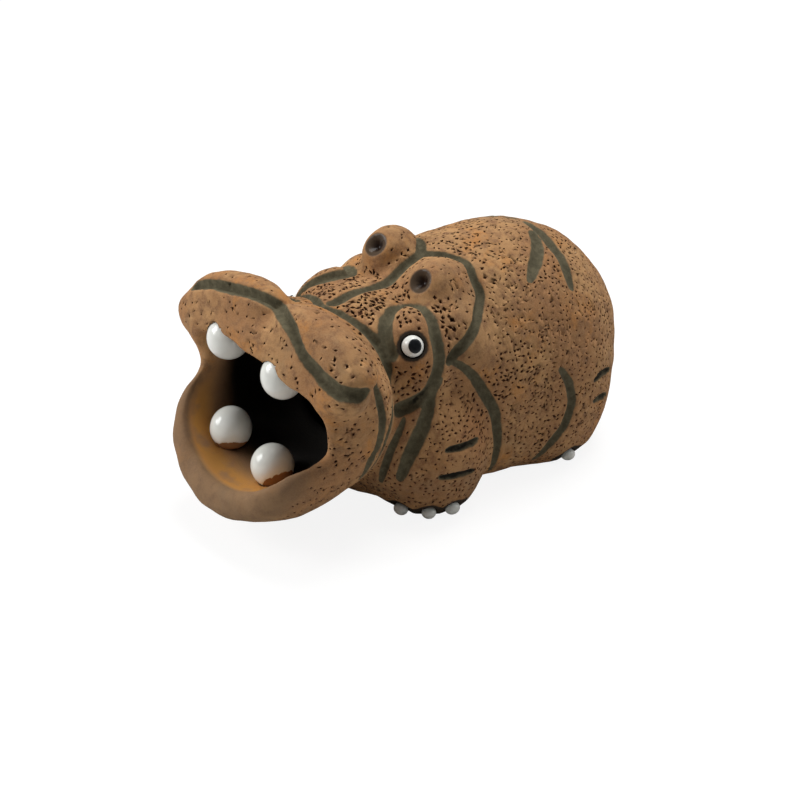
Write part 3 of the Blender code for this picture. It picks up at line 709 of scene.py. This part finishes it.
def pit_cutter(mesh, cuts):
    """One small pointed prick at each chosen place: a lopsided spindle pushed into the clay."""
    places, normals, rng = pick_pits(mesh, cuts)
    count = len(places)
    forehead = (places[:, 1] < -9.0) & (places[:, 1] > -38.0) & (places[:, 2] > 56.0)
    lean = np.where(forehead & (places[:, 0] < 0.0), -1.0, 1.0)[:, None]
    grain = np.where(forehead[:, None], FOREHEAD_GRAIN, PIT_GRAIN) * lean
    along = grain - (grain * normals).sum(axis=1)[:, None] * normals
    along /= np.linalg.norm(along, axis=1)[:, None]
    across = np.cross(normals, along)
    turn = rng.normal(0.0, PIT_SPREAD, count)[:, None]
    along, across = along * np.cos(turn) + across * np.sin(turn), across * np.cos(turn) - along * np.sin(turn)
    patch_size, patch_seed = PIT_SIZE_PATCH
    big = smoothstep(-0.6, 1.6, mottle(places, patch_size, patch_seed))[:, None] * 0.35 + 0.8
    big = big + FOREHEAD_EXTRA * forehead[:, None]
    half_length = rng.triangular(*PIT_LENGTH, (count, 1)) / 2 * big
    half_width = rng.uniform(*PIT_WIDTH, (count, 1)) / 2 * big
    deep = rng.uniform(*PIT_DEPTH, (count, 1)) * big
    jitter = rng.uniform(*PIT_UNEVEN, (count, 6, 1))
    skew = rng.normal(0.0, PIT_SKEW, (count, 2, 1))
    tips = [places + along * half_length * jitter[:, 0] + across * skew[:, 0],
            places + across * half_width * jitter[:, 1],
            places - along * half_length * jitter[:, 2] + across * skew[:, 1],
            places - across * half_width * jitter[:, 3],
            places + normals * PIT_STAND,
            places - normals * deep * jitter[:, 5]]
    points = np.stack(tips, axis=1).reshape(-1, 3)
    faces = np.array([(0, 1, 4), (1, 2, 4), (2, 3, 4), (3, 0, 4), (1, 0, 5), (2, 1, 5), (3, 2, 5), (0, 3, 5)])
    faces = (faces[None] + np.arange(count)[:, None, None] * len(tips)).reshape(-1, 3)
    cutter = bpy.data.meshes.new("pricks")
    cutter.from_pydata((points * MM).tolist(), [], faces.tolist())
    cutter.materials.append(clay_material)
    cutter.materials.append(pit_shade_material)
    # The pricks' faces take the painted shade material
    cutter.polygons.foreach_set("material_index", np.ones(len(cutter.polygons), dtype=np.int32))
    cutter.shade_flat()
    return add_object("pricks", cutter, helpers)


def seat_cutter():
    """The pellets a seat gap larger all round."""
    bm = bmesh.new()
    for name in pellet_names("tooth") + pellet_names("eye") + pellet_names("nail"):
        centre, half = centre_and_half(name)
        add_ball(bm, centre, half, shrink=-SEAT_GAP, segments=32, rings=18)
    mesh = bpy.data.meshes.new("seats")
    bm.to_mesh(mesh)
    bm.free()
    return add_object("seats", mesh, helpers)


def set_attribute(mesh, name, values):
    layer = mesh.attributes.new(name, "FLOAT", "POINT")
    layer.data.foreach_set("value", values.astype(np.float32))


def mark_clay(mesh, cuts):
    """Values that the clay's material reads: stain, sockets (their ring round the nails partly painted
    shade), warm legs, ear pits, bevel, painted shade deep in the mouth, and rim.
    """
    points = mesh_points(mesh)
    z = points[:, 2]
    behind_mouth = MOUTH_REACH - points @ mouth_normal()
    within = smoothstep(-2.2, -4.5, outside(points))
    # Round the nails the dark ring widens towards the floor: painted shade under the feet
    nails = least_reach(points, cuts["nails"]) * (1.0 - 0.4 * smoothstep(5.2, 3.6, z)) * 0.85
    lower_lip = smoothstep(14.0, 5.0, behind_mouth) * smoothstep(50.0, 36.0, z)
    set_attribute(mesh, "groove", least_reach(points, cuts["lines"]))
    set_attribute(mesh, "crack", least_reach(points, cuts["cracks"]))
    set_attribute(mesh, "socket", np.minimum(least_reach(points, cuts["eyes"]), nails))
    set_attribute(mesh, "warm", 0.65 * smoothstep(2.0, -3.0, lump_distance(points, FORELEG)))
    set_attribute(mesh, "ear_pit", least_reach(points, cuts["ear_pits"]))
    set_attribute(mesh, "bevel", within * smoothstep(48.0, 30.0, z) * smoothstep(16.0, 9.0, behind_mouth))
    set_attribute(mesh, "within", within)
    # Painted shade deep in the mouth, growing with distance behind the mouth's front
    set_attribute(mesh, "painted_mouth_shade", within * smoothstep(10.0, 21.0, behind_mouth))
    set_attribute(mesh, "rim", lower_lip * (1.0 - within))


def add_node(tree, kind, values=(), output=0, **settings):
    """Adds a shader node, sets or links its inputs, and returns one of its outputs."""
    made = tree.nodes.new(kind)
    for key, value in settings.items():
        setattr(made, key, value)
    for key, value in dict(values).items():
        if isinstance(value, bpy.types.NodeSocket):
            tree.links.new(value, made.inputs[key])
        else:
            made.inputs[key].default_value = value
    return made.outputs[output]


def new_shader(name):
    """A material with an empty tree apart from its Principled BSDF; returns material, tree and shader."""
    material = bpy.data.materials.new(name)
    material.use_nodes = True
    return material, material.node_tree, material.node_tree.nodes["Principled BSDF"]


def noise(tree, scale, detail=3.0, roughness=0.5, distortion=0.0):
    """Noise in the piece's own space, with scale in features per metre."""
    place = add_node(tree, "ShaderNodeTexCoord", output=3)
    return add_node(tree, "ShaderNodeTexNoise", {"Vector": place, "Scale": scale, "Detail": detail,
                                                 "Roughness": roughness, "Distortion": distortion})


def ramp(tree, value, low, high):
    return add_node(tree, "ShaderNodeMapRange", {"Value": value, "From Min": low, "From Max": high},
                    interpolation_type="SMOOTHSTEP")


def maths(tree, operation, first, second):
    return add_node(tree, "ShaderNodeMath", {0: first, 1: second}, operation=operation)


def rgba(colour):
    """A colour as a socket's value; a socket stays as it is."""
    return colour if isinstance(colour, bpy.types.NodeSocket) else (*colour, 1.0)


def blend_colour(tree, factor, first, second):
    return add_node(tree, "ShaderNodeMix", {0: factor, 6: rgba(first), 7: rgba(second)}, output=2,
                    data_type="RGBA", blend_type="MIX")


def attribute(tree, name):
    return add_node(tree, "ShaderNodeAttribute", output=2, attribute_name=name)


def clay_colour(tree):
    """Brown clay with tan, orange and grey patches, speckled finely."""
    colour = blend_colour(tree, ramp(tree, noise(tree, 45.0, 4.0, 0.6), 0.38, 0.62), *TAN)
    for scale, detail, roughness, distortion, start, full, patch in CLAY_PATCHES:
        spread = ramp(tree, noise(tree, scale, detail, roughness, distortion), start, full)
        colour = blend_colour(tree, spread, colour, patch)
    grain = ramp(tree, noise(tree, 2300.0, 2.0, 0.6), 0.25, 0.75)
    return blend_colour(tree, maths(tree, "MULTIPLY", grain, 0.3), colour, SPECK)


def zone_colour(tree, colour):
    """The clay's colour changed on the lower lip and legs, in the mouth and inside, and darkened deep in the
    mouth with painted shade.
    """
    colour = blend_colour(tree, maths(tree, "MULTIPLY", attribute(tree, "rim"), 0.7), colour, RIM_BROWN)
    colour = blend_colour(tree, attribute(tree, "warm"), colour, LEG_BROWN)
    colour = blend_colour(tree, attribute(tree, "within"), colour, INNER_BROWN)
    bevel = maths(tree, "MULTIPLY", attribute(tree, "bevel"), ramp(tree, noise(tree, 110.0), 0.25, 0.5))
    colour = blend_colour(tree, bevel, colour, BEVEL_ORANGE)
    # Painted shade darkens the clay deep inside the mouth
    return blend_colour(tree, attribute(tree, "painted_mouth_shade"), colour, PAINTED_MOUTH_SHADE)


def marked_colour(tree, colour, ear):
    """The clay's colour with dark stain in the grooves, cracks and sockets, glaze in the ear pits, and
    painted shade in the middles of the cracks and ear pits and round the feet of the nails.
    """
    brushed = maths(tree, "MULTIPLY", noise(tree, 260.0, 4.0, 0.7), 0.55)
    groove = maths(tree, "ADD", attribute(tree, "groove"), brushed)
    stain = blend_colour(tree, ramp(tree, noise(tree, 420.0, 4.0, 0.7), 0.3, 0.75), *STAIN)
    colour = blend_colour(tree, ramp(tree, groove, *STAIN_EDGE), colour, stain)
    crack = maths(tree, "ADD", attribute(tree, "crack"), brushed)
    colour = blend_colour(tree, ramp(tree, crack, *CRACK_EDGE), colour, stain)
    # Painted shade: near black down the middle of each deep cut
    colour = blend_colour(tree, ramp(tree, crack, *CRACK_SHADE_EDGE), colour, CRACK_PAINTED_SHADE)
    socket = maths(tree, "ADD", attribute(tree, "socket"), maths(tree, "MULTIPLY", brushed, 0.5))
    colour = blend_colour(tree, ramp(tree, socket, *SOCKET_EDGE), colour, SOCKET_BLACK)
    # Ear pits: brown glaze darkened towards the middle with painted shade
    pit_glaze_and_shade = blend_colour(tree, ramp(tree, attribute(tree, "ear_pit"), *EAR_PIT_SHADE_EDGE), *EAR_PIT)
    return blend_colour(tree, ear, colour, pit_glaze_and_shade)


def shade_clay():
    """Fired clay, rough all over apart from the glazed ear pits."""
    material, tree, surface = new_shader("fired_clay")
    ear = ramp(tree, attribute(tree, "ear_pit"), *EAR_EDGE)
    colour = marked_colour(tree, zone_colour(tree, clay_colour(tree)), ear)
    tree.links.new(colour, surface.inputs["Base Color"])
    rough = add_node(tree, "ShaderNodeMapRange", {"Value": ear, "To Min": 0.85, "To Max": 0.28})
    tree.links.new(rough, surface.inputs["Roughness"])
    surface.inputs["Specular IOR Level"].default_value = 0.16
    grain = maths(tree, "ADD", maths(tree, "MULTIPLY", noise(tree, 900.0, 4.0, 0.7), 0.6),
                  maths(tree, "MULTIPLY", noise(tree, 3200.0, 2.0, 0.6), 0.25))
    height = maths(tree, "MULTIPLY", grain, maths(tree, "SUBTRACT", 1.0, ear))
    bump = add_node(tree, "ShaderNodeBump", {"Height": height, "Distance": 0.0004, "Strength": 0.55})
    tree.links.new(bump, surface.inputs["Normal"])
    return material


def shade_pits():
    """Painted shade: the dark brown inside of the pricks."""
    material, tree, surface = new_shader("painted_prick_shade")
    dark = blend_colour(tree, ramp(tree, noise(tree, 500.0), 0.35, 0.65), *PRICK_SHADE)
    tree.links.new(dark, surface.inputs["Base Color"])
    surface.inputs["Roughness"].default_value = 0.9
    surface.inputs["Specular IOR Level"].default_value = 0.1
    return material


def shade_glaze():
    """Thick white glaze, faintly grey-green, that lets brown clay show where the bare attribute is high."""
    material, tree, surface = new_shader("white_glaze")
    white = blend_colour(tree, ramp(tree, noise(tree, 160.0, 3.0), 0.3, 0.7), *GLAZE)
    ragged = maths(tree, "MULTIPLY", noise(tree, 420.0, 4.0), 0.5)
    bare = ramp(tree, maths(tree, "ADD", attribute(tree, "bare"), ragged), 0.70, 0.78)
    tinted = blend_colour(tree, bare, white, BARE_CLAY)
    tree.links.new(tinted, surface.inputs["Base Color"])
    rough = add_node(tree, "ShaderNodeMapRange", {"Value": bare, "To Min": 0.13, "To Max": 0.8})
    tree.links.new(rough, surface.inputs["Roughness"])
    bump = add_node(tree, "ShaderNodeBump", {"Height": maths(tree, "SUBTRACT", 1.0, bare), "Distance": 0.0002,
                                             "Strength": 0.8})
    tree.links.new(bump, surface.inputs["Normal"])
    return material


def shade_pupil():
    """Black glaze."""
    material, tree, surface = new_shader("black_glaze")
    black = blend_colour(tree, ramp(tree, noise(tree, 700.0), 0.3, 0.7), *PUPIL)
    tree.links.new(black, surface.inputs["Base Color"])
    surface.inputs["Roughness"].default_value = 0.3
    surface.inputs["Specular IOR Level"].default_value = 0.3
    return material


def glazed_pellet(node, seed, wobble, share):
    """A glazed ball of clay in place of a CAD pellet: slightly uneven, and bare on one side where named."""
    centre, half = centre_and_half(node)
    bm = bmesh.new()
    bmesh.ops.create_icosphere(bm, subdivisions=5, radius=1.0)
    points = np.array([vertex.co for vertex in bm.verts])
    swell = 1.0 - wobble * (0.5 + 0.5 * np.clip(mottle(points, PELLET_PATCH, seed), -1.0, 1.0))
    for vertex, grown in zip(bm.verts, points * swell[:, None] * (half * share) + centre):
        vertex.co = grown * MM
    mesh = bpy.data.meshes.new("glazed_" + node)
    bm.to_mesh(mesh)
    bm.free()
    mesh.shade_smooth()
    bare = np.zeros(len(points))
    if node in BARE_SIDES:
        way = np.array(BARE_SIDES[node])
        bare = smoothstep(*BARE_EDGE, points @ way / np.linalg.norm(way)) * BARE_MOST
    set_attribute(mesh, "bare", bare)
    mesh.materials.append(glaze_material)
    item = add_object("glazed_" + node, mesh, parts)
    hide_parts(node)
    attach(item, "root")


def add_pupil(node, eye_at):
    """A low drop of black glaze on the front of an eye."""
    centre, half = centre_and_half(node)
    _, normal = settle([eye_at], LINE_SETTLE_STEPS)
    aside, down = PUPIL_SHIFT
    ahead = Vector((aside * np.sign(centre[0]) / half[0], -1.0, down / half[2]))
    way = np.array(facing(normal[0]) @ ahead.normalized())
    radius = PUPIL_WIDTH / 2
    bm = bmesh.new()
    add_ball(bm, centre + way * (half[1] * EYE_SHRINK - PUPIL_SINK),
             (radius, PUPIL_THICKNESS / 2, radius * PUPIL_TALLNESS), facing(way), segments=32, rings=16)
    mesh = bpy.data.meshes.new(node.replace("eye", "pupil"))
    bm.to_mesh(mesh)
    bm.free()
    mesh.shade_smooth()
    mesh.materials.append(pupil_material)
    item = add_object(mesh.name, mesh, parts)
    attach(item, "root")


def build_stage():
    """A pale floor that shows white to the camera and keeps the shadow under the animal."""
    bm = bmesh.new()
    bmesh.ops.create_grid(bm, x_segments=1, y_segments=1, size=FLOOR_SIZE)
    mesh = bpy.data.meshes.new("floor")
    bm.to_mesh(mesh)
    bm.free()
    floor = add_object("floor", mesh, stage)
    material, tree, surface = new_shader("pale_floor")
    surface.inputs["Base Color"].default_value = rgba(FLOOR_COLOUR)
    surface.inputs["Roughness"].default_value = 0.9
    surface.inputs["Specular IOR Level"].default_value = 0.0
    rays = add_node(tree, "ShaderNodeLightPath", output=0)
    glow = add_node(tree, "ShaderNodeEmission", {"Color": rgba(WHITE), "Strength": FLOOR_GLOW})
    share = maths(tree, "MULTIPLY", rays, FLOOR_GLOW_SHARE)
    mixed = add_node(tree, "ShaderNodeMixShader", {0: share, 1: surface.outputs[0], 2: glow})
    tree.links.new(mixed, tree.nodes["Material Output"].inputs["Surface"])
    mesh.materials.append(material)


def build_lights():
    """A dim pale world that the camera sees as white, and three large soft lamps."""
    world = bpy.data.worlds.new("studio")
    bpy.context.scene.world = world
    world.use_nodes = True
    tree = world.node_tree
    tree.nodes.clear()
    seen = add_node(tree, "ShaderNodeLightPath", output=0)
    lit = add_node(tree, "ShaderNodeBackground", {"Color": rgba(WORLD_COLOUR), "Strength": WORLD_LIGHT})
    white = add_node(tree, "ShaderNodeBackground", {"Color": rgba(WHITE), "Strength": 1.0})
    mixed = add_node(tree, "ShaderNodeMixShader", {0: seen, 1: lit, 2: white})
    out = tree.nodes.new("ShaderNodeOutputWorld")
    tree.links.new(mixed, out.inputs["Surface"])
    for name, place, size, watts in LAMPS:
        lamp = bpy.data.lights.new(name, "AREA")
        lamp.size = size
        lamp.energy = watts
        light = add_object(name, lamp, stage)
        light.location = place
        light.rotation_euler = (Vector(LAMP_AIM) - Vector(place)).to_track_quat("-Z", "Y").to_euler()


def build_camera():
    azimuth, elevation = math.radians(CAMERA_AZIMUTH), math.radians(CAMERA_ELEVATION)
    back = Vector((math.sin(azimuth) * math.cos(elevation), -math.cos(azimuth) * math.cos(elevation),
                   math.sin(elevation)))
    data = bpy.data.cameras.new("camera")
    data.lens = CAMERA_LENS
    data.sensor_width = CAMERA_SENSOR
    data.clip_start = CAMERA_NEAREST
    camera = add_object("camera", data, stage)
    camera.location = (Vector(CAMERA_TARGET) + back * CAMERA_DISTANCE) * MM
    camera.rotation_euler = (-back).to_track_quat("-Z", "Y").to_euler()
    bpy.context.scene.camera = camera


parts = new_collection("hippopotamus_figurine")
helpers = new_collection("helpers")
stage = new_collection("stage")
clay_material = shade_clay()
pit_shade_material = shade_pits()
glaze_material = shade_glaze()
pupil_material = shade_pupil()

clay_body, clay_cuts = build_clay()
clay_body.data.shade_smooth()
clay_body.data.materials.append(clay_material)
# Second slot: painted shade for the inside of the pricks
clay_body.data.materials.append(pit_shade_material)
cut_with(clay_body, seat_cutter(), "MANIFOLD")
cut_with(clay_body, pit_cutter(clay_body.data, clay_cuts), "MANIFOLD")
mark_clay(clay_body.data, clay_cuts)
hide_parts("body")
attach(clay_body, "root")

for kind, first_seed, wobble, share in PELLETS:
    for number, node_name in enumerate(pellet_names(kind)):
        glazed_pellet(node_name, first_seed + number, wobble, share)
        if kind == "eye":
            add_pupil(node_name, EYES_AT[number])

build_stage()
build_lights()
build_camera()
bpy.context.scene.view_settings.view_transform = "Standard"
